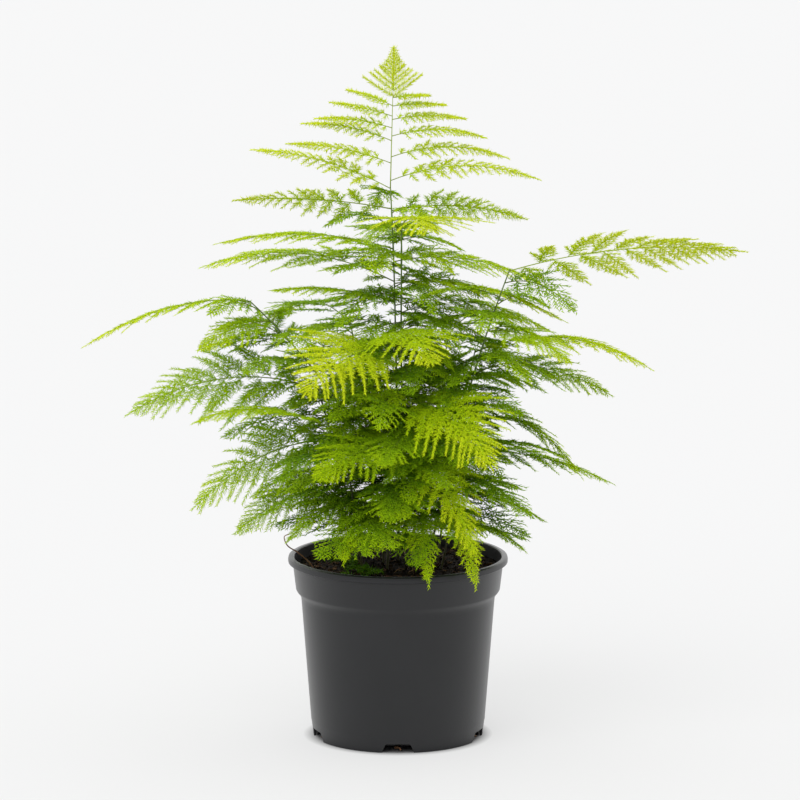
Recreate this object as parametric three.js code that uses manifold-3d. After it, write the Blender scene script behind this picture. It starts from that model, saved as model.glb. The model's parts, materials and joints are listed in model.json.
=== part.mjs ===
// A potted asparagus fern: a round plastic nursery pot with drain notches, its soil, and a clump
// of wiry shoots. Each shoot is one stem and the flat, feathery sprays that grow from it.
// Millimetres, +Z up. The origin is the centre of the pot's foot, and -Y is the front.
import * as THREE from "three";
import { mergeVertices } from "three/addons/utils/BufferGeometryUtils.js";
import Module from "manifold-3d";

const wasm = await Module();
wasm.setup();

// ---- Driving dimensions ----
const gap = 0.35; // left between two pieces that touch
const pot = {
  height: 100,
  lipRadius: 60,
  lipHeight: 3.6,
  bandTopRadius: 57.5,
  bandFootRadius: 55.6,
  bandFoot: 81,
  shoulder: 3, // height of the step from the band to the body
  bodyTopRadius: 52.9,
  bodyFootRadius: 46.4,
  wall: 1.2,
  baseRise: 2.5, // clear height under the base
  padRadius: 14, // the flat pad in the middle of the base, level with the foot ring
  notches: 5,
  notchHeight: 5.2,
  notchTop: 13.2,
  notchFoot: 17.8,
  notchDepth: 8,
  segments: 60,
};
const soil = { edge: 92.2, centre: 95.2, segments: 40 };
const stem = { radius: 0.6, sides: 6, steps: 8, planted: 12 };
const root = { radius: 0.9, notches: [0, 1, 4], reach: 5 };
const tendril = [
  [-44, -3, 88],
  [-47, -4, 95],
  [-54, -5, 102],
  [-60, -5, 106],
  [-62, -5, 111],
  [-59, -6, 113],
];
const spray = {
  thickness: 0.9,
  leastHalfWidth: 0.7,
  valley: 0.4, // half-width between two teeth, as a share of the teeth's
  sweep: 0.55, // how far a tooth leans towards the tip, as a share of its half-width
  mostLean: 0.075, // the most a tooth leans, as a share of the blade's length
  teeth: 6,
};

// Every shoot: where its stem stands and ends, how far it bows, and its sprays.
// A spray is [height of its root, heading, reach, rise, arch, half-width, roll], the heading
// counted from +X towards +Y and the roll about the spray's own length, both in degrees.
const shoots = {
  leader: {
    foot: [0, 4],
    top: [-4, 0, 302],
    bow: [3, 0],
    sprays: [
      [291, 178, 86, 4, 3, 12, 62],
      [290, 6, 74, -6, 5, 12, -62],
      [269, 186, 97, 4, 7, 26, 4],
      [251, 172, 107, 5, 12, 28, -6],
      [262, 12, 84, -16, 8, 24, 6],
      [250, 350, 95, -19, 9, 26, -8],
      [238, 3, 86, -16, 9, 22, 8],
      [272, 88, 72, -6, 8, 30, 0],
      [240, 200, 72, 10, 4, 22, 4],
    ],
  },
  crest: {
    foot: [6, -10],
    top: [2, -13, 285],
    bow: [-3, 2],
    sprays: [[284, 288, 50, 4, 6, 38, 0]],
  },
  left_arch: {
    foot: [-10, -3],
    top: [-80, -4, 241],
    bow: [50, 0],
    sprays: [
      [241, 182, 91, -25, 9, 20, 3],
      [230, 212, 46, -12, 4, 16, -18],
      [216, 140, 56, 4, 8, 24, -10],
    ],
  },
  right_arch: {
    foot: [14, -12],
    top: [60, -26, 262],
    bow: [-10, 1],
    sprays: [
      [261, 1, 128, 10, 7, 32, -38],
      [228, 322, 56, -12, 6, 22, 0],
    ],
  },
  front_tall: {
    foot: [-6, -16],
    top: [-6, -24, 226],
    bow: [2, 3],
    sprays: [
      [215, 234, 76, -12, 11, 36, -24],
      [226, 292, 66, -6, 8, 30, 8],
    ],
  },
  front_low: {
    foot: [8, -18],
    top: [8, -27, 190],
    bow: [2, 3],
    sprays: [
      [189, 304, 76, -25, 12, 34, 22],
      [173, 254, 62, -8, 4, 20, -6],
      [164, 225, 76, -8, 8, 28, -20],
      [158, 306, 57, -48, 14, 22, 14],
      [142, 254, 54, -8, 6, 22, -10],
      [126, 280, 44, -31, 13, 14, 0],
    ],
  },
  left: {
    foot: [-20, 4],
    top: [-44, 6, 192],
    bow: [6, 0],
    sprays: [
      [191, 188, 105, -12, 13, 32, -34],
      [162, 188, 78, -36, 11, 28, -36],
      [138, 196, 62, -24, 7, 22, -34],
    ],
  },
  left_low: {
    foot: [-18, -10],
    top: [-32, -22, 174],
    bow: [3, 2],
    sprays: [
      [171, 203, 86, 12, 11, 24, 2],
      [130, 214, 44, -15, 6, 14, 0],
      [127, 262, 42, -21, 9, 14, 0],
    ],
  },
  right: {
    foot: [20, 2],
    top: [42, 8, 212],
    bow: [-5, 0],
    sprays: [
      [211, 340, 102, -4, 13, 26, -4],
      [200, 3, 78, -14, 9, 26, -34],
      [178, 346, 68, -34, 15, 24, -30],
      [156, 0, 88, -18, 7, 22, 2],
      [134, 6, 55, -18, 5, 16, 0],
    ],
  },
  right_low: {
    foot: [22, -11],
    top: [30, -16, 126],
    bow: [-2, 1],
    sprays: [
      [125, 284, 50, -31, 12, 14, 0],
      [120, 350, 42, -14, 6, 12, 0],
    ],
  },
  back_left: {
    foot: [-10, 18],
    top: [-26, 40, 222],
    bow: [4, -4],
    sprays: [
      [221, 122, 84, -10, 12, 28, 0],
      [186, 96, 70, -14, 9, 28, 0],
      [152, 146, 66, -18, 9, 24, 0],
    ],
  },
  back_right: {
    foot: [12, 20],
    top: [28, 42, 216],
    bow: [-4, -4],
    sprays: [
      [215, 62, 82, -10, 12, 28, 0],
      [168, 84, 66, -16, 9, 26, 0],
    ],
  },
};

// ---- Materials ----
const material = (color, roughness) => new THREE.MeshStandardMaterial({ color, roughness, metalness: 0 });
const potPlastic = material("#36373a", 0.45);
const peat = material("#20150f", 0.95);
const stemGreen = material("#3f6420", 0.7);
const leafGreen = material("#6aa51e", 0.65);
const strawBrown = material("#7a5a3a", 0.8);

// ---- Solids ----
// A mesh's geometry as a solid that can be cut, and back.
function toSolid(geometry) {
  const bare = geometry.index ? geometry.toNonIndexed() : geometry.clone();
  bare.deleteAttribute("normal");
  bare.deleteAttribute("uv");
  const merged = mergeVertices(bare, 1e-4);
  const mesh = new wasm.Mesh({
    numProp: 3,
    vertProperties: new Float32Array(merged.attributes.position.array),
    triVerts: new Uint32Array(merged.index.array),
  });
  return new wasm.Manifold(mesh);
}

function toGeometry(solid) {
  const mesh = solid.getMesh();
  const geometry = new THREE.BufferGeometry();
  geometry.setAttribute("position", new THREE.BufferAttribute(new Float32Array(mesh.vertProperties), 3));
  geometry.setIndex(new THREE.BufferAttribute(new Uint32Array(mesh.triVerts), 1));
  geometry.computeVertexNormals();
  return geometry;
}

// A profile of [radius, height] corners, from axis to axis, turned about the vertical axis.
function turned(profile, segments) {
  const points = profile.map(([r, z]) => new THREE.Vector2(r, z));
  return toSolid(new THREE.LatheGeometry(points, segments).rotateX(Math.PI / 2));
}

// ---- Pot ----
function notchCutter(index) {
  const { notchTop, notchFoot, notchHeight, notchDepth, bodyFootRadius } = pot;
  const below = 1;
  const slope = (notchFoot - notchTop) / 2 / notchHeight;
  const outline = new THREE.Shape([
    new THREE.Vector2(-notchFoot / 2 - slope * below, -below),
    new THREE.Vector2(notchFoot / 2 + slope * below, -below),
    new THREE.Vector2(notchTop / 2, notchHeight),
    new THREE.Vector2(-notchTop / 2, notchHeight),
  ]);
  const outside = 4;
  const geometry = new THREE.ExtrudeGeometry(outline, {
    depth: notchDepth + outside,
    bevelEnabled: false,
  });
  geometry.rotateX(Math.PI / 2).translate(0, -(bodyFootRadius - notchDepth), 0);
  return geometry.rotateZ((index * 2 * Math.PI) / pot.notches);
}

function potGeometry() {
  const p = pot;
  const lipFoot = p.height - p.lipHeight;
  const bodyTop = p.bandFoot - p.shoulder;
  const baseTop = p.baseRise + p.wall;
  const lipInner = p.bandTopRadius - p.wall;
  const profile = [
    [0, 0],
    [p.padRadius, 0],
    [p.padRadius + 1, p.baseRise],
    [p.bodyFootRadius - p.wall, p.baseRise],
    [p.bodyFootRadius - p.wall, 0],
    [p.bodyFootRadius, 0],
    [p.bodyTopRadius, bodyTop],
    [p.bandFootRadius - 0.5, p.bandFoot - 0.8],
    [p.bandFootRadius, p.bandFoot],
    [p.bandTopRadius, lipFoot],
    [p.lipRadius, lipFoot],
    [p.lipRadius, p.height - 0.8],
    [p.lipRadius - 0.8, p.height],
    [lipInner, p.height],
    [p.bandFootRadius - p.wall, p.bandFoot],
    [p.bodyTopRadius - p.wall, bodyTop],
    [p.bodyFootRadius - p.wall + 0.4, baseTop],
    [0, baseTop],
  ];
  let solid = turned(profile, p.segments);
  for (let i = 0; i < p.notches; i++) solid = solid.subtract(toSolid(notchCutter(i)));
  return solid;
}

// ---- Stems ----
function stemCurve({ foot, top, bow }) {
  const [x, y, z] = top;
  const start = new THREE.Vector3(foot[0], foot[1], soil.edge - stem.planted);
  const end = new THREE.Vector3(x, y, z);
  const middle = start.clone().lerp(end, 0.5).add(new THREE.Vector3(bow[0], bow[1], 0));
  return new THREE.QuadraticBezierCurve3(start, middle, end);
}

function tubeGeometry(extrudePath, radius, steps) {
  const outline = new THREE.Shape();
  outline.absarc(0, 0, radius, 0, 2 * Math.PI);
  return new THREE.ExtrudeGeometry(outline, { steps, curveSegments: stem.sides, extrudePath });
}

function stemGeometry(shoot, radius) {
  return tubeGeometry(stemCurve(shoot), radius, stem.steps);
}

// The dry tendril that curls over the rim at the left.
function tendrilCurve() {
  return new THREE.CatmullRomCurve3(tendril.map((point) => new THREE.Vector3(...point)));
}

// Where a stem passes a height, and which way it runs there.
function stemAt(shoot, height) {
  const curve = stemCurve(shoot);
  let low = 0;
  let high = 1;
  for (let i = 0; i < 30; i++) {
    const middle = (low + high) / 2;
    if (curve.getPoint(middle).z < height) low = middle;
    else high = middle;
  }
  return { point: curve.getPoint(low), slope: curve.getTangent(low) };
}

// ---- Soil ----
function soilSolid() {
  const inside = (radius) => radius - pot.wall - gap;
  const bodyTop = pot.bandFoot - pot.shoulder;
  const profile = [
    [0, pot.baseRise + pot.wall + gap],
    [inside(pot.bodyFootRadius), pot.baseRise + pot.wall + gap],
    [inside(pot.bodyTopRadius), bodyTop],
    [inside(pot.bandFootRadius), pot.bandFoot + 0.4],
    [inside(pot.bandFootRadius) + 1, soil.edge],
    [30, (soil.edge + soil.centre) / 2 + 0.6],
    [0, soil.centre],
  ];
  let solid = turned(profile, soil.segments);
  const planted = Object.values(shoots).map((shoot) => stemGeometry(shoot, stem.radius + gap));
  planted.push(tubeGeometry(tendrilCurve(), stem.radius + gap, 14));
  for (const geometry of planted) solid = solid.subtract(toSolid(geometry));
  return solid;
}

// ---- Roots ----
// A root end that shows in a drain notch, just under the soil.
function rootGeometry(index) {
  const turn = (index * 2 * Math.PI) / pot.notches;
  const inner = pot.bodyFootRadius - pot.notchDepth + 1;
  const points = [
    [-1.5, -inner, 1.6],
    [0.5, -inner - root.reach / 2, 2.2],
    [1.5, -inner - root.reach, 1.4],
  ].map((point) => new THREE.Vector3(...point).applyAxisAngle(new THREE.Vector3(0, 0, 1), turn));
  return tubeGeometry(new THREE.CatmullRomCurve3(points), root.radius, 5);
}

// ---- Sprays ----
// A spray's half-width at a share of its length: wide near the root and fine at the tip.
function halfWidthAt(t, halfWidth) {
  const widest = 0.28;
  const rising = 0.35 + 0.65 * Math.sin((t / widest) * (Math.PI / 2));
  const falling = ((1 - t) / (1 - widest)) ** 1.1;
  return halfWidth * (t < widest ? rising : falling);
}

function sprayFrame(shoot, [height, heading, reach, rise, arch, , roll]) {
  const turn = THREE.MathUtils.degToRad(heading);
  const along = new THREE.Vector3(Math.cos(turn), Math.sin(turn), 0);
  const { point: start, slope } = stemAt(shoot, Math.min(height, shoot.top[2]));
  const away = along.clone().addScaledVector(slope, -along.dot(slope)).normalize();
  start.addScaledVector(away, stem.radius + 2 * gap);
  const chord = along.clone().multiplyScalar(reach);
  chord.z = rise;
  const side = new THREE.Vector3(-Math.sin(turn), Math.cos(turn), 0);
  side.applyAxisAngle(chord.clone().normalize(), THREE.MathUtils.degToRad(roll));
  return { start, chord, side, arch };
}

// A thin toothed blade bent over the spray's arch, one tooth for each few side twigs.
function sprayGeometry(shoot, values) {
  const halfWidth = values[5];
  const { start, chord, side, arch } = sprayFrame(shoot, values);
  const stations = spray.teeth * 2;
  const blade = new THREE.BoxGeometry(1, 2, 1, stations, 2, 1);
  const length = chord.length();
  const up = new THREE.Vector3(0, 0, 1);
  const at = blade.attributes.position;
  for (let i = 0; i < at.count; i++) {
    const station = Math.round((at.getX(i) + 0.5) * stations);
    const across = at.getY(i);
    const tooth = station % 2 ? 1 : spray.valley;
    const width = station ? halfWidthAt(station / stations, halfWidth) * tooth : 0;
    const reachOut = Math.max(spray.leastHalfWidth, width);
    const lean = Math.min(spray.mostLean, (spray.sweep * reachOut) / length) * Math.abs(across);
    const t = Math.min(1, station / stations + (station % 2 ? lean : 0));
    const point = start.clone().addScaledVector(chord, t);
    point.addScaledVector(up, 4 * arch * t * (1 - t)).addScaledVector(side, across * reachOut);
    const slope = chord.clone().addScaledVector(up, 4 * arch * (1 - 2 * t)).normalize();
    const normal = slope.clone().cross(side).normalize();
    point.addScaledVector(normal, at.getZ(i) * spray.thickness);
    at.setXYZ(i, point.x, point.y, point.z);
  }
  return blade;
}

// The leader's own end is an upright spray that faces the front.
const leaderTip = { height: 77, halfWidth: 82, teeth: 8, lift: 0.1 };

function leaderTipGeometry() {
  const start = stemAt(shoots.leader, shoots.leader.top[2]).point;
  const { height, halfWidth } = leaderTip;
  const stations = leaderTip.teeth * 2;
  const blade = new THREE.BoxGeometry(1, 2, 1, stations, 2, 1);
  const at = blade.attributes.position;
  for (let i = 0; i < at.count; i++) {
    const station = Math.round((at.getX(i) + 0.5) * stations);
    const t = station / stations;
    const across = at.getY(i);
    const tooth = station % 2 ? 1 : spray.valley;
    const taper = station ? (1 - t) ** 1.1 * tooth : 0;
    const reachOut = Math.max(spray.leastHalfWidth, halfWidth * taper);
    const lift = station % 2 ? leaderTip.lift * Math.abs(across) * reachOut : 0;
    const z = start.z + gap + Math.min(height, t * height + lift);
    at.setXYZ(i, start.x + across * reachOut, start.y + at.getZ(i) * spray.thickness, z);
  }
  return blade;
}

// ---- Assembly ----
const fern = new THREE.Group();
fern.name = "potted_asparagus_fern";

function add(name, geometry, finish) {
  const mesh = new THREE.Mesh(geometry, finish);
  mesh.name = name;
  fern.add(mesh);
}

add("nursery_pot", toGeometry(potGeometry()), potPlastic);
add("potting_soil", toGeometry(soilSolid()), peat);
for (const [name, shoot] of Object.entries(shoots)) {
  add(`${name}_stem`, stemGeometry(shoot, stem.radius), stemGreen);
  shoot.sprays.forEach((values, i) => add(`${name}_spray_${i + 1}`, sprayGeometry(shoot, values), leafGreen));
}
add("leader_tip_spray", leaderTipGeometry(), leafGreen);
add("dry_tendril", tubeGeometry(tendrilCurve(), stem.radius, 14), strawBrown);
root.notches.forEach((index, i) => add(`root_end_${i + 1}`, rootGeometry(index), strawBrown));

export default fern;
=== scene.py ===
import json
import math

import bpy
import numpy as np
from mathutils import Euler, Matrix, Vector, noise

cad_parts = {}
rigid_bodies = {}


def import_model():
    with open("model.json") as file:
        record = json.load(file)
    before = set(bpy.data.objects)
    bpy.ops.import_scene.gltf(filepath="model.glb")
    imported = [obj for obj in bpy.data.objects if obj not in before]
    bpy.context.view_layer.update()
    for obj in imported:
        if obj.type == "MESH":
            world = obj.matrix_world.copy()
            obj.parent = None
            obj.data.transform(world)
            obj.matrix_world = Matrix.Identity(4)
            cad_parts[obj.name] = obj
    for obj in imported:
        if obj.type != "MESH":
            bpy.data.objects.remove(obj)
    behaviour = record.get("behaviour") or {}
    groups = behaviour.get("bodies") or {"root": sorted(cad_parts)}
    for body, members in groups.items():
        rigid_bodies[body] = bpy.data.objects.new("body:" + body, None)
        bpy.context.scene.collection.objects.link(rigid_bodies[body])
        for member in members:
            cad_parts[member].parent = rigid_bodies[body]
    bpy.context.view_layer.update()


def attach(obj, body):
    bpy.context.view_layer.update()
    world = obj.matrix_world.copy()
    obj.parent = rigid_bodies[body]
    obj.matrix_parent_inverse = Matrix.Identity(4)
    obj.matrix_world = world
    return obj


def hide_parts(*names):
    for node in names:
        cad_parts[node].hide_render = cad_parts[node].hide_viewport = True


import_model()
mm = 0.001
up = np.array([0.0, 0.0, 1.0])
print("frame loaded")


# small helpers
def deselect():
    if bpy.context.object and bpy.context.object.mode != "OBJECT":
        bpy.ops.object.mode_set(mode="OBJECT")
    for ob in bpy.context.scene.objects:
        ob.select_set(False)


def choose(ob):
    deselect()
    ob.select_set(True)
    bpy.context.view_layer.objects.active = ob
    return ob


def freeze(ob):  # puts the object's place into its mesh
    choose(ob)
    bpy.ops.object.transform_apply(location=True, rotation=True, scale=True)
    return ob


def applyAll(ob):
    choose(ob)
    for name in [m.name for m in ob.modifiers]:
        bpy.ops.object.modifier_apply(modifier=name)
    return ob


def keep(ob, name, material, node=None):
    ob.name = name
    ob.data.name = name
    ob.data.materials.clear()
    ob.data.materials.append(material)
    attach(ob, "root")
    if node:
        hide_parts(node)
    return ob


def unit(v):
    return v / np.maximum(np.linalg.norm(v, axis=-1, keepdims=True), 1e-12)


# shader maths
class Wire:  # a socket that can be used in sums
    def __init__(self, tree, socket):
        self.tree = tree
        self.socket = socket

    def sum(self, operation, *values):
        return self.tree.node("ShaderNodeMath", {"operation": operation}, values)

    def __add__(self, other):
        return self.sum("ADD", self, other)

    def __radd__(self, other):
        return self.sum("ADD", other, self)

    def __sub__(self, other):
        return self.sum("SUBTRACT", self, other)

    def __rsub__(self, other):
        return self.sum("SUBTRACT", other, self)

    def __mul__(self, other):
        return self.sum("MULTIPLY", self, other)

    def __rmul__(self, other):
        return self.sum("MULTIPLY", other, self)

    def __truediv__(self, other):
        return self.sum("DIVIDE", self, other)

    def __gt__(self, other):
        return self.sum("GREATER_THAN", self, other)


class Tree:  # the nodes of a finish or of the studio's sky
    def __init__(self, owner):
        owner.use_nodes = True
        self.nodes = owner.node_tree.nodes
        self.links = owner.node_tree.links

    def node(self, kind, settings=None, values=(), output=0):
        made = self.nodes.new(kind)
        for key, value in (settings or {}).items():
            if key == "stops":
                self.fillRamp(made.color_ramp, value)
            else:
                setattr(made, key, value)
        pairs = values.items() if isinstance(values, dict) else enumerate(values)
        for key, value in pairs:
            self.feed(made.inputs[key], value)
        return Wire(self, made.outputs[output])

    def fillRamp(self, ramp, stops):
        while len(ramp.elements) < len(stops):
            ramp.elements.new(0.5)
        for element, (place, colour) in zip(ramp.elements, stops):
            element.position = place
            element.color = (*colour, 1)

    def feed(self, socket, value):
        if isinstance(value, Wire):
            self.links.new(value.socket, socket)
        else:
            socket.default_value = value

    def part(self, vector, axis):
        return self.node("ShaderNodeSeparateXYZ", None, [vector], axis)

    def ramp(self, factor, stops):
        return self.node("ShaderNodeValToRGB", {"stops": stops}, {"Fac": factor})

    def blend(self, factor, one, other, way="MIX"):
        settings = {"data_type": "RGBA", "blend_type": way}
        return self.node("ShaderNodeMix", settings, {0: factor, 6: one, 7: other}, 2)


class Finish(Tree):  # one material
    def __init__(self, name, settings):
        self.material = bpy.data.materials.new(name)
        super().__init__(self.material)
        self.shader = self.nodes["Principled BSDF"]
        for socket, value in settings.items():
            self.shader.inputs[socket].default_value = value

    def place(self):
        return self.node("ShaderNodeTexCoord", output="Object")

    def clouds(self, scale, detail=3.0, roughness=0.55):
        values = {"Vector": self.place(), "Scale": scale, "Detail": detail, "Roughness": roughness}
        return self.node("ShaderNodeTexNoise", None, values)

    def bump(self, height, distance):
        values = {"Height": height, "Distance": distance, "Strength": 1.0}
        self.feed(self.shader.inputs["Normal"], self.node("ShaderNodeBump", None, values))

    def colour(self, wire):
        self.feed(self.shader.inputs["Base Color"], wire)

    def roughness(self, wire):
        self.feed(self.shader.inputs["Roughness"], wire)


# camera, light and floor
studio = {
    "aim": (0.0011, 0, 0.186),
    "distance": 3.2,
    "pitch": 10.4,
    "lens": 265,
    "sensor": 36,
    "floorRadius": 14,
    "floorTone": (0.300, 0.301, 0.303),
    # the paper's glow paints light on it, lifting it and weakening the shadows cast on it
    "floorGlow": 0.545,
    "paintedShadowEdges": (0.044, 0.052),  # how far from the middle the paper's glow begins, and is full; the ring without glow paints a contact shadow round the pot's foot
    "sky": ((0.0, 0.80), (0.75, 1.0)),  # how bright it is at the horizon and overhead
    "front": ((0.05, 0.30), (0.95, 1.0)),  # and from the front round to the back
    "ambient": 1.6,
    "key": 1.3,
    "keyTurn": (38, -24, 0),
    "keySoftness": 50,
}


def makeStudio():
    pitch = math.radians(studio["pitch"])
    aim = Vector(studio["aim"])
    back = Vector((0, -math.cos(pitch), math.sin(pitch)))
    spot = aim + back * studio["distance"]
    bpy.ops.object.camera_add(location=spot, rotation=(math.pi / 2 - pitch, 0, 0))
    camera = bpy.context.object
    camera.data.lens = studio["lens"]
    camera.data.sensor_width = studio["sensor"]
    camera.data.clip_end = 100
    bpy.context.scene.camera = camera

    bpy.ops.mesh.primitive_circle_add(vertices=96, radius=studio["floorRadius"], fill_type="NGON")
    floor = bpy.context.object
    floor.name = "floor"
    paper = Finish("studio paper", {
        "Base Color": (*studio["floorTone"], 1), "Emission Strength": studio["floorGlow"],
        "Roughness": 1.0, "Specular IOR Level": 0.0,
    })
    # no glow next to the pot's foot, a painted contact shadow; the glow further out is painted
    # light
    away = paper.node("ShaderNodeVectorMath", {"operation": "LENGTH"}, [paper.place()], "Value")
    start, full = studio["paintedShadowEdges"]
    glow = paper.ramp((away - start) / (full - start), [(0.0, (0, 0, 0)), (1.0, (1, 1, 1))])
    paper.feed(paper.shader.inputs["Emission Color"], glow)
    floor.data.materials.append(paper.material)

    world = bpy.data.worlds.new("soft studio")
    sky = Tree(world)
    direction = sky.node("ShaderNodeTexCoord", output="Generated")
    facing = sky.part(direction, "Y") * 0.5 + 0.5
    tones = []
    for stops, place in (("sky", sky.part(direction, "Z")), ("front", facing)):
        tones.append(sky.ramp(place, [(at, (bright,) * 3) for at, bright in studio[stops]]))
    air = sky.nodes["Background"].inputs
    sky.feed(air["Color"], sky.blend(1.0, *tones, "MULTIPLY"))
    sky.feed(air["Strength"], studio["ambient"])
    bpy.context.scene.world = world

    bpy.ops.object.light_add(type="SUN", rotation=[math.radians(a) for a in studio["keyTurn"]])
    key = bpy.context.object
    key.name = "key"
    key.data.energy = studio["key"]
    key.data.angle = math.radians(studio["keySoftness"])
    bpy.context.scene.view_settings.view_transform = "Standard"


makeStudio()
print("studio made")


# finishes
def potFinish():
    settings = {"Specular IOR Level": 0.25, "Coat Weight": 0.4, "Coat Roughness": 0.28}
    finish = Finish("dark grey pot plastic", settings)
    fine = finish.clouds(900, 2)
    broad = finish.clouds(28, 4)
    stops = [(0.3, (0.0075, 0.008, 0.0092)), (0.7, (0.0105, 0.011, 0.0125))]
    finish.colour(finish.ramp(broad, stops))
    finish.roughness(0.36 + 0.10 * broad + 0.04 * fine)
    finish.bump(fine * 0.6 + broad * 0.4, 0.00006)
    return finish.material


def soilFinish():
    finish = Finish("damp peat", {"Roughness": 0.95, "Specular IOR Level": 0.2})
    grain = finish.clouds(420, 5, 0.65)
    patch = finish.clouds(60, 3)
    dark = finish.ramp(grain, [(0.34, (0.002, 0.001, 0.001)), (0.50, (0.010, 0.005, 0.003)),
                               (0.62, (0.050, 0.025, 0.011)), (0.76, (0.150, 0.085, 0.040))])
    finish.colour(finish.blend(patch * 0.35, dark, (0.006, 0.003, 0.002, 1)))
    finish.bump(grain, 0.0012)
    return finish.material


def fibreFinish():
    finish = Finish("dry straw fibre", {"Roughness": 0.8})
    tone = finish.clouds(70, 3)
    finish.colour(finish.ramp(tone, [(0.35, (0.07, 0.030, 0.012)), (0.55, (0.20, 0.10, 0.045)),
                                     (0.75, (0.42, 0.27, 0.13))]))
    return finish.material


def chipFinish():
    finish = Finish("bark chip", {"Roughness": 0.85, "Specular IOR Level": 0.2})
    tone = finish.clouds(90, 2)
    finish.colour(finish.ramp(tone, [(0.35, (0.030, 0.013, 0.006)), (0.5, (0.085, 0.042, 0.018)),
                                     (0.7, (0.190, 0.105, 0.050))]))
    finish.bump(finish.clouds(600, 3), 0.0003)
    return finish.material


def stemFinish():
    finish = Finish("wiry stem", {"Roughness": 0.5})
    height = finish.part(finish.place(), "Z")
    tone = finish.clouds(160, 3)
    rise = (height - 0.09) / 0.25  # from the soil up
    base = finish.ramp(rise, [(0.0, (0.060, 0.055, 0.015)), (0.35, (0.070, 0.120, 0.018)),
                              (0.8, (0.16, 0.27, 0.04)), (1.0, (0.30, 0.42, 0.07))])
    finish.colour(finish.blend(tone * 0.35, base, (0.05, 0.04, 0.015, 1)))
    finish.bump(tone, 0.0001)
    return finish.material


def leafFinish():
    # the map's U is youth and painted light, from deep green for old growth in painted shade to
    # lime for new growth in painted light, and its V is a leaf's own shade, or a woody twig's above
    # 0.9
    finish = Finish("soft needle green", {"Roughness": 0.7, "Specular IOR Level": 0.1})
    leafMap = finish.node("ShaderNodeUVMap", {"uv_map": "OFBake"})
    ageAndLight = finish.part(leafMap, "X")
    shade = finish.part(leafMap, "Y")
    green = finish.ramp(ageAndLight, [
        (0.00, (0.048, 0.135, 0.003)),
        (0.25, (0.165, 0.335, 0.003)),
        (0.50, (0.365, 0.600, 0.004)),
        (0.75, (0.610, 0.830, 0.004)),
        (1.00, (0.850, 0.940, 0.020)),
    ])
    varied = finish.blend(shade * 0.22, green, (0.13, 0.32, 0.003, 1))
    twig = finish.ramp(ageAndLight, [(0.0, (0.060, 0.100, 0.010)), (1.0, (0.40, 0.52, 0.05))])
    finish.colour(finish.blend(shade > 0.9, varied, twig))
    return finish.material


finishes = {
    "pot": potFinish(),
    "soil": soilFinish(),
    "fibre": fibreFinish(),
    "chip": chipFinish(),
    "stem": stemFinish(),
    "leaf": leafFinish(),
}
print("finishes mixed")

# nursery pot
pot = {
    "sides": 180,
    "outside": [  # radius and height of each ring, from the foot up
        (46.0, 0), (46.4, 0.4), (47.45, 8.6), (47.6, 9.0), (52.75, 75.5), (53.0, 77.4),
        (53.9, 79.3), (55.1, 80.6), (55.75, 81.8), (57.4, 95.7), (57.7, 96.25), (59.2, 96.3),
        (59.9, 96.8), (60, 98.2), (59.7, 99.5), (58.9, 100),
    ],
    "inside": [  # on from the lip, down to the floor
        (57.2, 100), (56.6, 99.5), (56.3, 96.4), (54.5, 81.2), (51.7, 77), (46.0, 5.6), (45, 3.7),
    ],
    "underside": [  # from the foot in to the pad in the middle
        (45.4, 0), (45.1, 0.4), (45.0, 2.5), (15.0, 2.5), (14.1, 0.3), (13.8, 0),
    ],
    "notches": 5,
    "notch": {"foot": 17.8, "top": 13.2, "height": 5.2, "below": 1.5, "inner": 38.4, "outer": 52},
    "softCorner": 0.9,
    "sharpestSmooth": 34,  # degrees; a sharper edge stays crisp
}


def growRing(radius, height, state):
    bpy.ops.mesh.extrude_region_move()
    share = radius / state["radius"]
    bpy.ops.transform.resize(value=(share, share, 1), center_override=(0, 0, 0))
    bpy.ops.transform.translate(value=(0, 0, (height - state["height"]) * mm))
    state["radius"], state["height"] = radius, height


def makeNotchCutter(index):
    notch = pot["notch"]
    deselect()
    bpy.ops.mesh.primitive_cube_add(size=1)
    cutter = bpy.context.object
    slope = (notch["foot"] - notch["top"]) / 2 / notch["height"]
    for v in cutter.data.vertices:
        low = v.co.z < 0
        half = notch["foot"] / 2 + slope * notch["below"] if low else notch["top"] / 2
        v.co.x = math.copysign(half * mm, v.co.x)
        v.co.y = -(notch["outer"] if v.co.y < 0 else notch["inner"]) * mm
        v.co.z = (-notch["below"] if low else notch["height"]) * mm
    bevel = cutter.modifiers.new("soft corners", "BEVEL")
    bevel.width = pot["softCorner"] * mm
    bevel.segments = 3
    applyAll(cutter)
    cutter.rotation_euler.z = index * 2 * math.pi / pot["notches"]
    return freeze(cutter)


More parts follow.
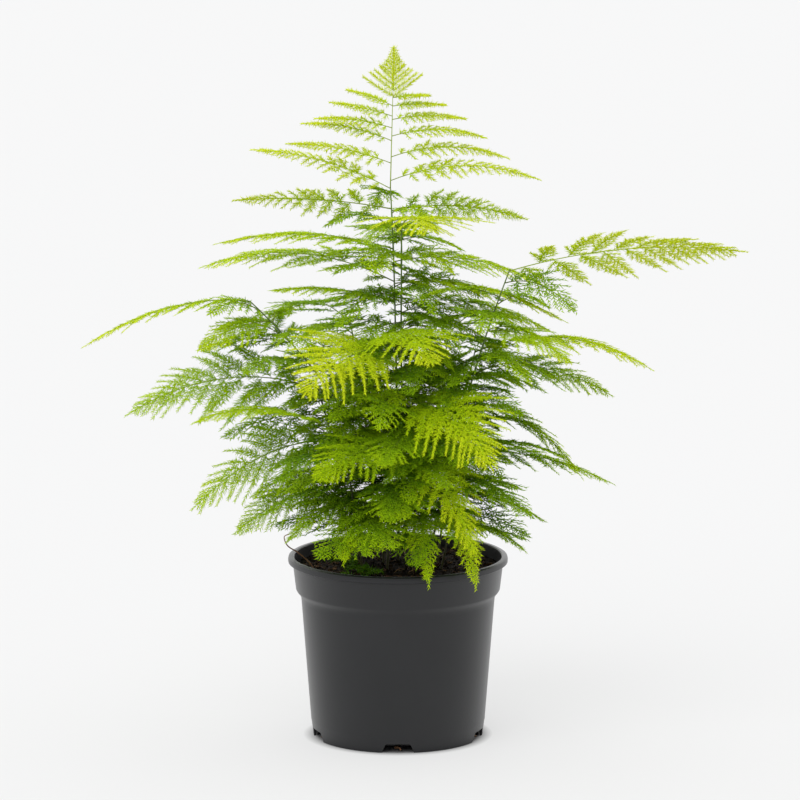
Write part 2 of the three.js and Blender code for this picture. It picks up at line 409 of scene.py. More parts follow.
def makePot():
    rings = pot["outside"] + pot["inside"]
    foot = rings[0][0]
    deselect()
    bpy.ops.mesh.primitive_circle_add(vertices=pot["sides"], radius=foot * mm)
    body = bpy.context.object
    bpy.ops.object.mode_set(mode="EDIT")
    bpy.ops.mesh.select_all(action="SELECT")
    state = {"radius": foot, "height": 0}
    for radius, height in rings[1:]:
        growRing(radius, height, state)
    bpy.ops.mesh.edge_face_add()  # the floor of the pot
    bpy.ops.object.mode_set(mode="OBJECT")

    # back to the foot, for the underside
    low = [v.index for v in body.data.vertices if v.co.z < 1e-7]
    choose(body)
    bpy.ops.object.mode_set(mode="EDIT")
    bpy.ops.mesh.select_all(action="DESELECT")
    bpy.ops.object.mode_set(mode="OBJECT")
    for index in low:
        body.data.vertices[index].select = True
    bpy.ops.object.mode_set(mode="EDIT")
    bpy.ops.mesh.select_mode(type="VERT")
    state = {"radius": foot, "height": 0}
    for radius, height in pot["underside"]:
        growRing(radius, height, state)
    bpy.ops.mesh.edge_face_add()
    bpy.ops.mesh.select_all(action="SELECT")
    bpy.ops.mesh.normals_make_consistent(inside=False)
    bpy.ops.object.mode_set(mode="OBJECT")

    cutters = [makeNotchCutter(i) for i in range(pot["notches"])]
    for cutter in cutters:
        cut = body.modifiers.new("notch", "BOOLEAN")
        cut.operation = "DIFFERENCE"
        cut.object = cutter
        cut.solver = "EXACT"
    applyAll(body)
    for cutter in cutters:
        bpy.data.objects.remove(cutter, do_unlink=True)
    choose(body)
    bpy.ops.object.shade_smooth_by_angle(angle=math.radians(pot["sharpestSmooth"]))
    keep(body, "potMoulding", finishes["pot"], "nursery_pot")


makePot()
print("pot moulded")

# shoots
# Every shoot: where its stem stands and ends, how far it bows, and its sprays. A spray is (height
# of its root, heading, reach, rise, arch, half-width, roll, youth and light), in millimetres and
# degrees. Youth and light run from 0, deep green, to 1, fresh lime: lime for new growth and painted
# light, deep green for old growth and painted shade in the heart of the plant.
shoots = {
    "leader": {
        "foot": (0, 4), "top": (-4, 0, 302), "bow": (3, 0), "sprays": [
            (291, 178, 86, 4, 3, 12, 62, 0.84),
            (290, 6, 74, -6, 5, 12, -62, 0.72),
            (269, 186, 97, 4, 7, 26, 4, 0.72),
            (251, 172, 107, 5, 12, 28, -6, 0.66),
            (262, 12, 84, -16, 8, 24, 6, 0.70),
            (250, 350, 95, -19, 9, 26, -8, 0.72),
            (238, 3, 86, -16, 9, 22, 8, 0.60),
            (272, 88, 72, -6, 8, 30, 0, 0.52),
            (240, 200, 72, 10, 4, 22, 4, 0.58),
        ],
    },
    "crest": {"foot": (6, -10), "top": (2, -13, 285), "bow": (-3, 2), "sprays": [
        (284, 288, 50, 4, 6, 38, 0, 0.92),
    ]},
    "left_arch": {
        "foot": (-10, -3), "top": (-80, -4, 241), "bow": (50, 0), "sprays": [
            (241, 182, 91, -25, 9, 20, 3, 0.76),
            (230, 212, 46, -12, 4, 16, -18, 0.64),
            (216, 140, 56, 4, 8, 24, -10, 0.50),
        ],
    },
    "right_arch": {
        "foot": (14, -12), "top": (60, -26, 262), "bow": (-10, 1), "sprays": [
            (261, 1, 128, 10, 7, 32, -38, 0.94),
            (228, 322, 56, -12, 6, 22, 0, 0.66),
        ],
    },
    "front_tall": {
        "foot": (-6, -16), "top": (-6, -24, 226), "bow": (2, 3), "sprays": [
            (215, 234, 76, -12, 11, 36, -24, 0.90),
            (226, 292, 66, -6, 8, 30, 8, 0.72),
        ],
    },
    "front_low": {
        "foot": (8, -18), "top": (8, -27, 190), "bow": (2, 3), "sprays": [
            (189, 304, 76, -25, 12, 34, 22, 0.74),
            (173, 254, 62, -8, 4, 20, -6, 0.42),
            (164, 225, 76, -8, 8, 28, -20, 0.52),
            (158, 306, 57, -48, 14, 22, 14, 0.72),
            (142, 254, 54, -8, 6, 22, -10, 0.34),
            (126, 280, 44, -31, 13, 14, 0, 0.52),
        ],
    },
    "left": {
        "foot": (-20, 4), "top": (-44, 6, 192), "bow": (6, 0), "sprays": [
            (191, 188, 105, -12, 13, 32, -34, 0.50),
            (162, 188, 78, -36, 11, 28, -36, 0.54),
            (138, 196, 62, -24, 7, 22, -34, 0.50),
        ],
    },
    "left_low": {
        "foot": (-18, -10), "top": (-32, -22, 174), "bow": (3, 2), "sprays": [
            (171, 203, 86, 12, 11, 24, 2, 0.62),
            (130, 214, 44, -15, 6, 14, 0, 0.44),
            (127, 262, 42, -21, 9, 14, 0, 0.55),
        ],
    },
    "right": {
        "foot": (20, 2), "top": (42, 8, 212), "bow": (-5, 0), "sprays": [
            (211, 340, 102, -4, 13, 26, -4, 0.78),
            (200, 3, 78, -14, 9, 26, -34, 0.52),
            (178, 346, 68, -34, 15, 24, -30, 0.54),
            (156, 0, 88, -18, 7, 22, 2, 0.50),
            (134, 6, 55, -18, 5, 16, 0, 0.44),
        ],
    },
    "right_low": {
        "foot": (22, -11), "top": (30, -16, 126), "bow": (-2, 1), "sprays": [
            (125, 284, 50, -31, 12, 14, 0, 0.66),
            (120, 350, 42, -14, 6, 12, 0, 0.46),
        ],
    },
    "back_left": {
        "foot": (-10, 18), "top": (-26, 40, 222), "bow": (4, -4), "sprays": [
            (221, 122, 84, -10, 12, 28, 0, 0.40),
            (186, 96, 70, -14, 9, 28, 0, 0.30),
            (152, 146, 66, -18, 9, 24, 0, 0.25),
        ],
    },
    "back_right": {
        "foot": (12, 20), "top": (28, 42, 216), "bow": (-4, -4), "sprays": [
            (215, 62, 82, -10, 12, 28, 0, 0.40),
            (168, 84, 66, -16, 9, 26, 0, 0.28),
        ],
    },
}
stemShape = {
    "planted": 80.2,  # height of its lower end, in the soil
    "radius": (0.75, 0.34),  # at the foot and at the tip
    "steps": 40,
    "joints": 9,
    "jointSwell": 0.16,
    "jointLength": 0.012,  # of the stem's length
    "sway": 0.25,
}


def stemPoint(shoot, t):
    start = np.array([*shoot["foot"], stemShape["planted"]], float)
    end = np.array(shoot["top"], float)
    middle = (start + end) / 2 + np.array([*shoot["bow"], 0.0])
    return start * (1 - t) ** 2 + middle * 2 * t * (1 - t) + end * t ** 2


def stemAt(shoot, height):  # the stem's middle line at a height
    low, high = 0.0, 1.0
    for _ in range(30):
        half = (low + high) / 2
        if stemPoint(shoot, half)[2] < height:
            low = half
        else:
            high = half
    return stemPoint(shoot, low)


def tube(points, radii):  # in millimetres, with eight sides
    line = bpy.data.curves.new("tube", "CURVE")
    line.dimensions = "3D"
    line.bevel_depth = mm
    line.bevel_resolution = 2
    line.use_fill_caps = True
    spline = line.splines.new("POLY")
    spline.points.add(len(points) - 1)
    for point, place, radius in zip(spline.points, points, radii):
        point.co = (*(np.array(place) * mm), 1)
        point.radius = radius
    ob = bpy.data.objects.new("tube", line)
    bpy.context.collection.objects.link(ob)
    choose(ob)
    bpy.ops.object.convert(target="MESH")
    ob = bpy.context.object
    bpy.ops.object.mode_set(mode="EDIT")
    bpy.ops.mesh.select_all(action="SELECT")
    bpy.ops.mesh.remove_doubles(threshold=0.00001)
    bpy.ops.mesh.normals_make_consistent(inside=False)
    bpy.ops.object.mode_set(mode="OBJECT")
    bpy.ops.object.shade_smooth()
    return ob


def makeStem(name, shoot):
    count = stemShape["steps"]
    places, radii = [], []
    rng = np.random.default_rng(sum(map(ord, name)))
    joints = rng.uniform(0.1, 0.95, stemShape["joints"])
    foot, tip = stemShape["radius"]
    for i in range(count + 1):
        t = i / count
        swell = sum(math.exp(-(((t - joint) / stemShape["jointLength"]) ** 2)) for joint in joints)
        sway = stemShape["sway"] * math.sin(9 * t + len(name)) * math.sin(math.pi * t)
        places.append(stemPoint(shoot, t) + np.array([sway, 0.6 * sway, 0]))
        radii.append(foot * (1 - t) + tip * t + stemShape["jointSwell"] * swell)
    keep(tube(places, radii), name + "Stem", finishes["stem"], name + "_stem")


for name, shoot in shoots.items():
    makeStem(name, shoot)
print("stems drawn")

# feathery sprays
growth = {
    "needle": (4.5, 3.0),  # length, in millimetres, on an old spray and on a young one
    "needleWidth": (0.42, 0.38),  # half of it, at the needle's root
    "needleDepth": 0.5,  # of the width
    "needleGap": (0.63, 0.39),  # of twig to each needle
    "needleAngle": 52,
    "spread": 20,  # how far a needle leaves the spray's plane, in degrees
    "fork": (70, 34),  # between a side twig and its parent, near the parent's root and near its tip
    "fineFork": 50,
    "twigGap": 3.4,
    "leastTwig": 2.0,
    "leastForked": 8,  # a shorter side twig has needles alone
    "room": 0.8,  # how much of the room between two side twigs their own twigs fill
    "coarse": (1.55, 1.28),  # an inner spray's needles are this much farther apart, and wider
    "sideStart": 0.06,  # the share of a spray's rib below its first side twig
    "sideGap": 0.12,  # between side twigs at the root, as a share of the rib
    "sideRadius": 0.16,
    "fineRadius": 0.11,
    "ribRadius": 0.40,
    "bareRib": 0.30,
    # the root, near the stem, is darker, for older growth and painted shade; the tip is lighter,
    # for new growth and painted light
    "youthAndLightSpan": (-0.24, 0.16),  # what the rib's root and tip add to the spray's youth and painted light
}


def takeShape(ob):  # the corners and faces of a finished pattern piece, which is then put away
    corners = np.array([tuple(v.co) for v in ob.data.vertices])
    faces = np.array([tuple(f.vertices) for f in ob.data.polygons])
    bpy.data.objects.remove(ob, do_unlink=True)
    return corners, faces


def makeNeedle():  # along +X, a unit long and a unit in radius
    deselect()
    bpy.ops.mesh.primitive_cone_add(vertices=3, radius1=1, radius2=0, depth=1,
                                    location=(0.5, 0, 0), rotation=(0, math.pi / 2, 0))
    return takeShape(freeze(bpy.context.object))


needleCorners, needleFaces = makeNeedle()


class Twigs:  # many twigs at once, each a bent line start + along * s + bend * s * s
    def __init__(self, start, along, bend, flat, length, young, radius, bare, room=None):
        self.start = start
        self.along = along
        self.bend = bend
        self.flat = flat
        self.length = length
        self.young = young  # youth and painted light at the root and at the tip
        self.radius = radius
        self.bare = bare  # the share of the twig that has no needles
        self.room = room  # to its neighbour

    def point(self, which, s):
        s = s[:, None]
        return self.start[which] + self.along[which] * s + self.bend[which] * s * s

    def heading(self, which, s):
        return unit(self.along[which] + 2 * self.bend[which] * s[:, None])

    def youthAndLight(self, which, s):
        return self.young[which, 0] * (1 - s) + self.young[which, 1] * s


# twigs that leave their parents at the shares s, to the side that sign says
def fork(parent, which, s, sign, length, angle, droop, sweep, radius, bare, rng, fresh, room=None):
    heading = parent.heading(which, s)
    flat = parent.flat[which]
    side = unit(np.cross(flat, heading)) * sign[:, None]
    turn = np.radians(angle)[:, None]
    aim = unit(np.cos(turn) * heading + np.sin(turn) * side + rng.normal(0, 0.05, side.shape))
    size = length[:, None]
    bend = (heading * sweep - up * droop) * size
    start = parent.point(which, s)
    youthAndLight = parent.youthAndLight(which, s)
    young = np.stack([youthAndLight, youthAndLight + fresh * np.minimum(1, length / 12)], 1)
    return Twigs(start, aim * size, bend, unit(np.cross(aim, np.cross(flat, aim))), length, young,
                 np.full(len(s), radius), np.full(len(s), bare), room)


def widthAt(t):
    widest = 0.28
    rising = 0.35 + 0.65 * np.sin(np.minimum(t / widest, 1) * math.pi / 2)
    return np.where(t < widest, rising, (np.maximum(1 - t, 0) / (1 - widest)) ** 1.1)


def aged(pair, youthAndLight):  # between the value on an old spray and that on a young one
    return pair[0] + (pair[1] - pair[0]) * np.clip(youthAndLight, 0, 1)


def needlesOn(twigs, rng, coarse=False):
    gap = aged(growth["needleGap"], twigs.young.mean(1)) * (growth["coarse"][0] if coarse else 1)
    counts = np.maximum(2, (twigs.length * (1 - twigs.bare) / gap)).astype(int)
    which = np.repeat(np.arange(len(counts)), counts)
    order = np.concatenate([np.arange(n) for n in counts])
    share = (order + rng.uniform(0.2, 0.8, len(order))) / counts[which]
    s = twigs.bare[which] + (1 - twigs.bare[which]) * share
    heading = twigs.heading(which, s)
    side = unit(np.cross(twigs.flat[which], heading))
    lift = np.cross(heading, side)
    sign = np.where(order % 2, 1.0, -1.0)[:, None]
    roll = rng.normal(0, math.radians(growth["spread"]), len(s))[:, None]
    out = side * sign * np.cos(roll) + lift * np.sin(roll)
    angle = np.radians(growth["needleAngle"] * (1 - 0.35 * s) + rng.normal(0, 7, len(s)))[:, None]
    aim = unit(np.cos(angle) * heading + np.sin(angle) * out)
    youthAndLight = twigs.youthAndLight(which, s)
    size = aged(growth["needle"], youthAndLight) * rng.uniform(0.75, 1.1, len(s)) * (1 - 0.4 * s ** 3)
    return twigs.point(which, s), aim, lift, size, youthAndLight + rng.normal(0, 0.05, len(s))


def gather(parts):  # many small meshes as one
    corners, faces, maps, start = [], [], [], 0
    for points, tris, uvs in parts:
        corners.append(points)
        faces.append(tris + start)
        maps.append(uvs)
        start += len(points)
    return np.concatenate(corners), np.concatenate(faces), np.concatenate(maps)


def needleMesh(roots, aims, lifts, sizes, youthAndLight, rng, coarse=False):
    across = unit(np.cross(lifts, aims))
    over = np.cross(aims, across) * growth["needleDepth"]
    thick = aged(growth["needleWidth"], youthAndLight)[:, None, None]
    if coarse:
        thick = thick * growth["coarse"][1]
    t = needleCorners
    points = (
        roots[:, None, :]
        + aims[:, None, :] * t[None, :, 0:1] * sizes[:, None, None]
        + across[:, None, :] * t[None, :, 1:2] * thick
        + over[:, None, :] * t[None, :, 2:3] * thick
    )
    count = len(roots)
    tris = needleFaces[None] + (np.arange(count) * len(t))[:, None, None]
    shade = rng.uniform(0.05, 0.8, count)
    return points.reshape(-1, 3), tris.reshape(-1, 3), mapOf(youthAndLight, shade, len(needleFaces))


def mapOf(youthAndLight, shade, facesEach):  # each face gets a speck of the map at its own youth and painted light, and its shade
    u = np.repeat(np.clip(youthAndLight, 0.02, 0.97), facesEach)
    v = np.repeat(shade, facesEach)
    corner = np.array([(0, 0), (0.008, 0), (0, 0.008)])
    return np.stack([u, v], 1)[:, None, :] + corner[None]


def twigMesh(twigs, steps):
    count = len(twigs.length)
    which = np.arange(count)
    turns = np.arange(3) * 2 * math.pi / 3
    rings = []
    for i in range(steps):
        s = np.full(count, i / steps)
        middle = twigs.point(which, s)
        heading = twigs.heading(which, s)
        side = unit(np.cross(twigs.flat, heading))
        lift = np.cross(heading, side)
        radius = (twigs.radius * (1 - 0.7 * i / steps))[:, None]
        ring = [middle + radius * (math.cos(a) * side + math.sin(a) * lift) for a in turns]
        rings.append(np.stack(ring, 1))
    tip = twigs.point(which, np.ones(count))[:, None, :]
    points = np.concatenate(rings + [tip], 1)
    each = 3 * steps + 1
    tris = [(0, 2, 1)]
    for i in range(steps - 1):
        for k in range(3):
            a, b = 3 * i + k, 3 * i + (k + 1) % 3
            tris += [(a, b, b + 3), (a, b + 3, a + 3)]
    last = 3 * (steps - 1)
    tris += [(last + k, last + (k + 1) % 3, each - 1) for k in range(3)]
    tris = np.array(tris)
    step = np.concatenate([[0], np.repeat(np.arange(steps - 1), 6), [steps - 1] * 3]) / steps
    youthAndLight = (twigs.young[:, :1] * (1 - step) + twigs.young[:, 1:] * step).reshape(-1)
    uvs = mapOf(youthAndLight, np.full(len(youthAndLight), 0.95), 1)
    faces = tris[None] + (which * each)[:, None, None]
    return points.reshape(-1, 3), faces.reshape(-1, 3), uvs


# thousands of needles and crumbs, so they are laid straight into one mesh
def meshObject(name, corners, faces, uvs):
    mesh = bpy.data.meshes.new(name)
    mesh.vertices.add(len(corners))
    mesh.vertices.foreach_set("co", (corners * mm).astype(np.float32).ravel())
    mesh.loops.add(faces.size)
    mesh.loops.foreach_set("vertex_index", faces.astype(np.int32).ravel())
    mesh.polygons.add(len(faces))
    mesh.polygons.foreach_set("loop_start", np.arange(0, faces.size, 3, dtype=np.int32))
    layer = mesh.uv_layers.new(name="OFBake")
    mesh.update()
    layer.uv.foreach_set("vector", uvs.astype(np.float32).ravel())
    mesh.validate()
    mesh.update()
    ob = bpy.data.objects.new(name, mesh)
    bpy.context.collection.objects.link(ob)
    return ob


def sideTwigs(rib, halfWidth, first, rng, gapShare):
    places, signs, room = [], [], []
    t = first
    sign = 1.0
    while t < 0.94:
        gap = gapShare * (1 - t) + 0.018
        places.append(t)
        signs.append(sign)
        room.append(gap * rib.length[0] * 0.85)
        sign = -sign
        t += gap * 0.5 * rng.uniform(0.85, 1.15)
    s = np.array(places)
    signs = np.array(signs)
    angle = growth["fork"][0] * (1 - s) + growth["fork"][1] * s + rng.normal(0, 3, len(s))
    length = halfWidth * widthAt(s) / np.sin(np.radians(angle)) * rng.uniform(0.86, 1.06, len(s))
    length = np.maximum(length, 1.2)
    return fork(rib, np.zeros(len(s), int), s, signs, length, angle, 0.16, 0.16,
                growth["sideRadius"], 0.04, rng, 0.22, np.array(room))


def fineTwigs(parents, rng):
    which, s, signs = [], [], []
    for k, length in enumerate(parents.length):
        if length < growth["leastForked"]:
            continue
        place = 0.08
        sign = 1.0
        while place < 0.86:
            which.append(k)
            s.append(place)
            signs.append(sign)
            sign = -sign
            place += growth["twigGap"] * 0.5 * (1 - 0.4 * place) / length * rng.uniform(0.85, 1.15)
    if not which:
        return None
    which, s, signs = np.array(which), np.array(s), np.array(signs)
    shape = np.minimum(1, s / 0.12 * 0.4 + 0.6) * (1 - s) ** 0.8
    most = np.minimum(0.45 * parents.length[which], growth["room"] * parents.room[which])
    length = most * shape * rng.uniform(0.85, 1.1, len(s))
    good = length > growth["leastTwig"]
    which, s, signs, length = which[good], s[good], signs[good], length[good]
    angle = growth["fineFork"] - 10 * s + rng.normal(0, 4, len(s))
    return fork(parents, which, s, signs, length, angle, 0.05, 0.12,
                growth["fineRadius"], 0.0, rng, 0.12)


def sprayMesh(rib, halfWidth, first, rng, gapShare=growth["sideGap"], coarse=False):
    side = sideTwigs(rib, halfWidth, first, rng, gapShare)
    fine = fineTwigs(side, rng)
    parts = [twigMesh(rib, 16), twigMesh(side, 4)]
    bearing = [rib, side]
    if fine is not None and len(fine.length):
        parts.append(twigMesh(fine, 1))
        bearing.append(fine)
    for twigs in bearing:
        parts.append(needleMesh(*needlesOn(twigs, rng, coarse), rng, coarse))
    return parts


def ribOf(shoot, spray):
    height, heading, reach, rise, arch, halfWidth, roll, youthAndLight = spray
    turn = math.radians(heading)
    along = np.array([math.cos(turn), math.sin(turn), 0.0])
    start = stemAt(shoot, min(height, shoot["top"][2]))
    chord = along * reach + up * rise
    side = np.array([-math.sin(turn), math.cos(turn), 0.0])
    axis = chord / np.linalg.norm(chord)
    angle = math.radians(roll)
    side = side * math.cos(angle) + np.cross(axis, side) * math.sin(angle)
    flat = unit(np.cross(chord, side))
    rootShift, tipShift = growth["youthAndLightSpan"]
    young = np.array([[max(0.0, youthAndLight + rootShift), youthAndLight + tipShift]])
    return Twigs(start[None], (chord + up * 4 * arch)[None], (-up * 4 * arch)[None], flat[None],
                 np.array([math.hypot(reach, rise)]), young,
                 np.array([growth["ribRadius"]]), np.array([growth["bareRib"]]))


# small sprays that wind up each stem and fill the heart of the plant
inner = {
    "low": 118,  # height of the lowest
    "high": 300,  # where they would be youngest, most in the painted light, and shortest
    "gap": 6.6,  # of stem to each spray
    "dense": (150, 245),  # the heights between which they stand closer
    "closer": 0.8,
    "wider": 1.1,
    "turn": 137.5,  # from one to the next
    "reach": (38, 70),
    "lift": (-14, 2),
    "arch": (4, 9),
    "halfWidth": 0.36,  # of the reach
    "roll": (-22, 22),
    # low, for the old growth and painted shade in the heart of the plant
    "youthAndLight": (0.12, 0.40),
    "sideStart": 0.08,
    "sideGap": 0.17,
}


def innerSprays(name, shoot):
    rng = np.random.default_rng(sum(map(ord, name)) * 7)
    low, high = inner["low"], inner["high"]
    parts = []
    heading = rng.uniform(0, 360)
    height = low
    top = shoot["top"][2]
    while height < top - 4 or not parts:
        share = (height - low) / (high - low)
        reach = rng.uniform(*inner["reach"]) * (1 - 0.22 * share)
        lift = rng.uniform(*inner["lift"])
        # lighter higher up, for younger growth and painted light from above
        youthAndLight = rng.uniform(*inner["youthAndLight"]) + 0.26 * share
        arch = rng.uniform(*inner["arch"])
        halfWidth = reach * inner["halfWidth"]
        roll = rng.uniform(*inner["roll"])
        rib = ribOf(shoot, (height, heading, reach, lift, arch, halfWidth, roll, youthAndLight))
        parts += sprayMesh(rib, halfWidth, inner["sideStart"], rng, inner["sideGap"], True)
        heading += inner["turn"] + rng.uniform(-15, 15)
        dense = inner["dense"][0] < height < inner["dense"][1]
        spacing = inner["closer"] if dense else inner["wider"]
        height += inner["gap"] * rng.uniform(0.8, 1.2) * spacing
    corners, faces, uvs = gather(parts)
    ob = meshObject(name + "InnerSprays", corners, faces, uvs)
    keep(ob, name + "InnerSprays", finishes["leaf"])
    return len(faces)


triangles = 0
for name, shoot in shoots.items():
    triangles += innerSprays(name, shoot)
print("inner sprays grown", triangles)
for name, shoot in shoots.items():
    for number, spray in enumerate(shoot["sprays"], 1):
        rng = np.random.default_rng(1000 + triangles % 977)  # so that no two are alike
        parts = sprayMesh(ribOf(shoot, spray), spray[5], growth["sideStart"], rng)
        corners, faces, uvs = gather(parts)
        ob = meshObject(f"{name}Spray{number}", corners, faces, uvs)
        keep(ob, f"{name}Spray{number}", finishes["leaf"], f"{name}_spray_{number}")
        triangles += len(faces)
print("sprays grown", triangles)

# the leader's upright tip
leaderTip = {
    "height": 77,
    "youthAndLight": 0.90,
    "branches": [  # height above the stem's top, heading, reach, rise, arch, half-width
        (0, 180, 76, 20, 5, 9.5), (4.5, 0, 81, 1, 8, 9.5),
        (13.8, 180, 57, 11.5, 3, 7.5), (17.4, 0, 64, -2, 6, 7.5),
        (26, 180, 49, 9, 3, 6), (28.7, 0, 51, -1, 4, 6),
        (33, 180, 42, 5.5, 2, 5), (37.7, 0, 40, 0, 2, 5),
        (39.4, 180, 34, 8, 1, 4), (45, 0, 29, 0.5, 1, 3.4),
        (45, 180, 25, 9, 1, 3), (49.6, 0, 20, 1.5, 0.5, 2.4),
    ],
    "spike": (50, 76),  # the heights of the twigs above those branches
    "spikeGap": (3.2, 1.2),  # how far apart they are, at the bottom and at the top
    "tilt": 30,
    "sideGap": 0.09,
    "ribRadius": 0.3,
}


def growLeaderTip():
    rng = np.random.default_rng(77)
    root = np.array(shoots["leader"]["top"], float)
    full = leaderTip["height"]
    youthAndLight = leaderTip["youthAndLight"]
    axis = Twigs(root[None], np.array([[2.0, 0.0, full]]), np.zeros((1, 3)),
                 np.array([[0.0, -1.0, 0.0]]), np.array([float(full)]),
                 np.array([[youthAndLight - 0.1, youthAndLight + 0.1]]), np.array([0.42]), np.array([0.70]))
    parts = [twigMesh(axis, 12), needleMesh(*needlesOn(axis, rng), rng)]
    low, high = leaderTip["spike"]
    wide, narrow = leaderTip["spikeGap"]
    heights, signs = [], []
    height = low
    while height < high:
        heights += [height, height + 0.4 * narrow]
        signs += [-1.0, 1.0]
        height += wide + (narrow - wide) * ((height - low) / (high - low))
    heights = np.minimum(np.array(heights), high)
    above = full - heights
    lengths = above * (0.20 + 0.48 * above / (full - low)) + 0.8
    small = fork(axis, np.zeros(len(heights), int), heights / full, np.array(signs), lengths,
                 56 + rng.normal(0, 3, len(heights)), 0.03, 0.10, 0.12, 0.0, rng, 0.1)
    parts += [twigMesh(small, 3), needleMesh(*needlesOn(small, rng), rng)]
    for height, heading, reach, lift, arch, halfWidth in leaderTip["branches"]:
        turn = math.radians(heading + rng.uniform(-7, 7))
        along = np.array([math.cos(turn), math.sin(turn), 0.0])
        start = axis.point(np.array([0]), np.array([height / full]))
        chord = along * reach + up * lift
        side = np.array([-math.sin(turn), math.cos(turn), 0.0])
        tilt = math.radians(leaderTip["tilt"] if heading == 0 else -leaderTip["tilt"])
        side = side * math.cos(tilt) + np.cross(unit(chord), side) * math.sin(tilt)
        rib = Twigs(start, (chord + up * 4 * arch)[None], (-up * 4 * arch)[None],
                    unit(np.cross(chord, side))[None], np.array([float(reach)]),
                    np.array([[youthAndLight - 0.12, youthAndLight + 0.1]]),
                    np.array([leaderTip["ribRadius"]]), np.array([0.12]))
        parts += sprayMesh(rib, halfWidth, 0.08, rng, leaderTip["sideGap"])
    corners, faces, uvs = gather(parts)
    ob = meshObject("leaderTipSpray", corners, faces, uvs)
    keep(ob, "leaderTipSpray", finishes["leaf"], "leader_tip_spray")
    return len(faces)


triangles += growLeaderTip()
print("leader's tip grown", triangles)

# potting soil
soil = {
    "edge": 93.6,  # height at the pot's wall
    "middle": 95.6,
    "radius": 55.6,
    "rings": 44,
    "sides": 120,
    # each ring below the top: how far down it goes, and its share of the one before
    "under": [(12, 0.964), (4.6, 0.952), (71, 0.885)],
    "crumbs": 900,
    "fibres": 200,
    "chips": 90,
    "sprigs": 9,
    "straw": [(-2, -50.5, 95), (1, -47, 98.4), (4.6, -49.5, 95.2), (8.2, -51.5, 95.0)],
}


def smoothLine(points, count):  # a curve through the points, as that many places
    points = np.array(points, float)
    spots = np.linspace(0, len(points) - 1, count)
    line = []
    for spot in spots:
        i = min(int(spot), len(points) - 2)
        f = spot - i
        a, b, c, d = (points[min(max(k, 0), len(points) - 1)] for k in (i - 1, i, i + 1, i + 2))
        line.append(0.5 * (2 * b + (c - a) * f + (2 * a - 5 * b + 4 * c - d) * f ** 2
                           + (3 * b - a - 3 * c + d) * f ** 3))
    return line


def soilHeight(x, y):
    r = math.hypot(x, y)
    base = soil["edge"] + (soil["middle"] - soil["edge"]) * max(0.0, 1 - (r / 50) ** 2)
    lumps = noise.noise(Vector((x * 0.06, y * 0.06, 3.1))) * 1.5
    clods = noise.noise(Vector((x * 0.22, y * 0.22, 8.4))) * 0.9
    grit = noise.noise(Vector((x * 0.8, y * 0.8, 1.7))) * 0.45
    return base + (lumps + clods + grit) * min(1.0, (56.5 - r) / 3 + 0.35)


def spotOnSoil(rng, radius, least=0.0):
    r = radius * math.sqrt(rng.uniform(least, 1))
    a = rng.uniform(0, 2 * math.pi)
    return r * math.cos(a), r * math.sin(a)


def makeSoil():
    deselect()
    step = soil["radius"] / soil["rings"]
    bpy.ops.mesh.primitive_circle_add(vertices=soil["sides"], radius=step * mm, fill_type="TRIFAN")
    bed = bpy.context.object
    bpy.ops.object.mode_set(mode="EDIT")
    bpy.ops.mesh.select_all(action="SELECT")
    bpy.ops.mesh.region_to_loop()
    for i in range(2, soil["rings"] + 1):
        bpy.ops.mesh.extrude_region_move()
        share = i / (i - 1)
        bpy.ops.transform.resize(value=(share, share, 1), center_override=(0, 0, 0))
    for depth, share in soil["under"]:
        bpy.ops.mesh.extrude_region_move()
        bpy.ops.transform.translate(value=(0, 0, -depth * mm))
        bpy.ops.transform.resize(value=(share, share, 1), center_override=(0, 0, 0))
    bpy.ops.mesh.edge_face_add()
    bpy.ops.mesh.select_all(action="SELECT")
    bpy.ops.mesh.normals_make_consistent(inside=False)
    bpy.ops.object.mode_set(mode="OBJECT")
    for v in bed.data.vertices:
        if v.co.z > -0.001:
            v.co.z = soilHeight(v.co.x / mm, v.co.y / mm) * mm
        else:
            v.co.z += soil["edge"] * mm
    choose(bed)
    bpy.ops.object.shade_smooth()
    keep(bed, "soilBed", finishes["soil"], "potting_soil")


def makeCrumbs():
    deselect()
    bpy.ops.mesh.primitive_ico_sphere_add(subdivisions=1, radius=1)
    corners, faces = takeShape(bpy.context.object)
    rng = np.random.default_rng(5)
    parts = []
    for _ in range(soil["crumbs"]):
        x, y = spotOnSoil(rng, 54.6)
        size = 0.35 + 1.1 * rng.uniform() ** 3
        squash = rng.uniform(0.6, 1.25, 3)
        shape = corners * squash * rng.uniform(0.75, 1.2, (len(corners), 1)) * size
        place = np.array([x, y, soilHeight(x, y) + 0.25 * size])
        parts.append((shape + place, faces, np.zeros((len(faces), 3, 2))))
    ob = meshObject("soilCrumbs", *gather(parts))
    keep(ob, "soilCrumbs", finishes["soil"])


def makeFibres():
    rng = np.random.default_rng(9)
    starts, alongs, bends, lengths = [], [], [], []
    for _ in range(soil["fibres"]):
        x, y = spotOnSoil(rng, 52)
        turn = rng.uniform(0, 2 * math.pi)
        length = rng.uniform(2.5, 9)
        ex, ey = x + length * math.cos(turn), y + length * math.sin(turn)
        if math.hypot(ex, ey) > 54:
            continue
        start = np.array([x, y, soilHeight(x, y) + 0.3])
        end = np.array([ex, ey, soilHeight(ex, ey) + 0.4])
        hump = rng.uniform(0.2, 1.6)
        starts.append(start)
        alongs.append(end - start + up * 4 * hump)
        bends.append(-up * 4 * hump)
        lengths.append(length)
    count = len(starts)
    fibres = Twigs(np.array(starts), np.array(alongs), np.array(bends),
                   np.tile([[0.3, 0.1, 1.0]], (count, 1)), np.array(lengths),
                   np.tile([[0.5, 0.5]], (count, 1)), rng.uniform(0.1, 0.24, count),
                   np.zeros(count))
    ob = meshObject("soilFibres", *gather([twigMesh(fibres, 6)]))
    keep(ob, "soilFibres", finishes["fibre"])


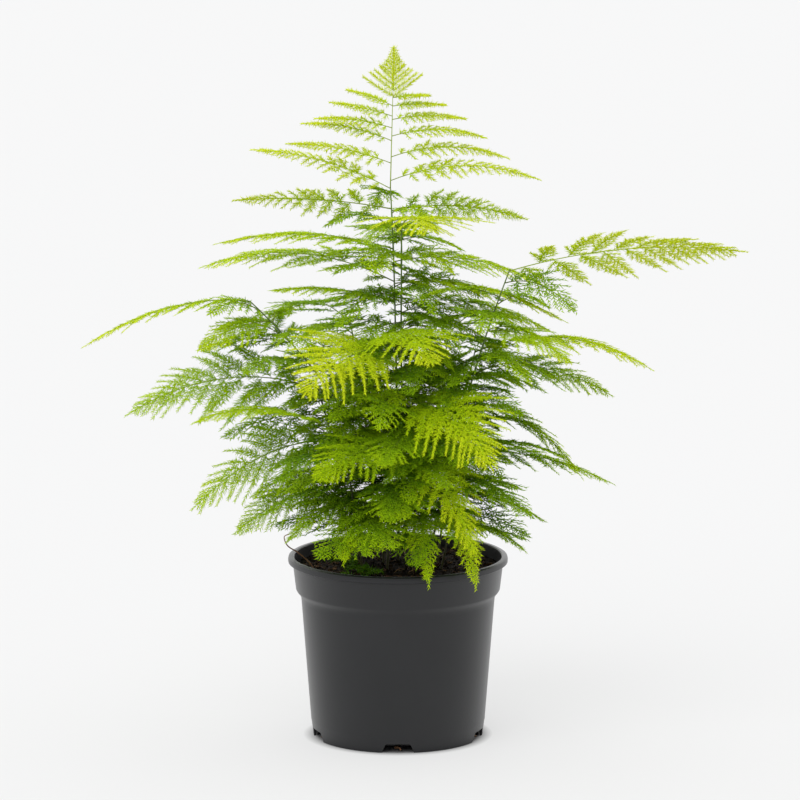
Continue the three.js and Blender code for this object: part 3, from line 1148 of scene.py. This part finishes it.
def makeChips():
    deselect()
    bpy.ops.mesh.primitive_cube_add(size=1)
    chip = bpy.context.object
    bevel = chip.modifiers.new("worn edges", "BEVEL")
    bevel.width = 0.16
    bevel.segments = 1
    applyAll(chip)
    chip.modifiers.new("triangles", "TRIANGULATE")
    corners, faces = takeShape(applyAll(chip))
    rng = np.random.default_rng(21)
    parts = []
    for _ in range(soil["chips"]):
        x, y = spotOnSoil(rng, 52.5, 0.05)
        size = np.array([rng.uniform(1.6, 4.2), rng.uniform(0.8, 1.8), rng.uniform(0.3, 0.7)])
        angles = (rng.normal(0, 0.35), rng.normal(0, 0.35), rng.uniform(0, 6.3))
        turn = np.array(Euler(angles).to_matrix())
        place = np.array([x, y, soilHeight(x, y) + 0.35])
        parts.append(((corners * size) @ turn.T + place, faces, np.zeros((len(faces), 3, 2))))
    keep(meshObject("barkChips", *gather(parts)), "barkChips", finishes["chip"])


def makeSprigs():  # old sprigs that lie on the soil at the left
    rng = np.random.default_rng(31)
    parts = []
    for _ in range(soil["sprigs"]):
        a = math.radians(rng.uniform(165, 250))
        r = rng.uniform(26, 46)
        x, y = r * math.cos(a), r * math.sin(a)
        turn = rng.uniform(0, 2 * math.pi)
        reach = rng.uniform(7, 13)
        start = np.array([x, y, soilHeight(x, y) + 0.5])
        end = np.array([x + reach * math.cos(turn), y + reach * math.sin(turn), 0.0])
        share = min(1.0, 50 / math.hypot(end[0], end[1]))
        end = np.array([end[0] * share, end[1] * share, start[2] + rng.uniform(1.5, 5)])
        rib = Twigs(start[None], (end - start)[None] + up * 6, -up[None] * 6,
                    np.array([[0.1, -0.3, 0.95]]), np.array([reach]), np.array([[0.0, 0.10]]),
                    np.array([0.25]), np.array([0.1]))
        parts += sprayMesh(rib, 2.6, 0.12, rng, 0.2)
    keep(meshObject("soilSprigs", *gather(parts)), "soilSprigs", finishes["leaf"])


def makeStraw():
    line = smoothLine(soil["straw"], 24)
    keep(tube(line, np.linspace(0.26, 0.16, 24)), "strawFibre", finishes["fibre"])


makeSoil()
makeCrumbs()
makeFibres()
makeChips()
makeStraw()
makeSprigs()
print("soil filled")

# tendril and roots
tendril = {
    "line": [
        (-44, -3, 88), (-47, -4, 95), (-54, -5, 102), (-60, -5, 106), (-62, -5, 111),
        (-59, -6, 113),
    ],
    "radius": (0.5, 0.22),
}
rootEnds = {
    "line": [(-1.5, -39.4, 1.6), (0.5, -41.9, 2.2), (1.5, -44.4, 1.4)],  # in the front notch
    "radius": (0.8, 0.4),
    "notches": (0, 1, 4),  # those that have one
}


def makeTendril():
    steps = 30
    ob = tube(smoothLine(tendril["line"], steps), np.linspace(*tendril["radius"], steps))
    keep(ob, "dryTendril", finishes["fibre"], "dry_tendril")


def makeRootEnds():
    steps = 10
    for number, notch in enumerate(rootEnds["notches"], 1):
        turn = notch * 2 * math.pi / pot["notches"]
        line = []
        for x, y, z in smoothLine(rootEnds["line"], steps):
            across = x * math.cos(turn) - y * math.sin(turn)
            line.append((across, x * math.sin(turn) + y * math.cos(turn), z))
        ob = tube(line, np.linspace(*rootEnds["radius"], steps))
        keep(ob, f"rootEnd{number}", finishes["fibre"], f"root_end_{number}")


makeTendril()
makeRootEnds()
print("roots and tendril placed")
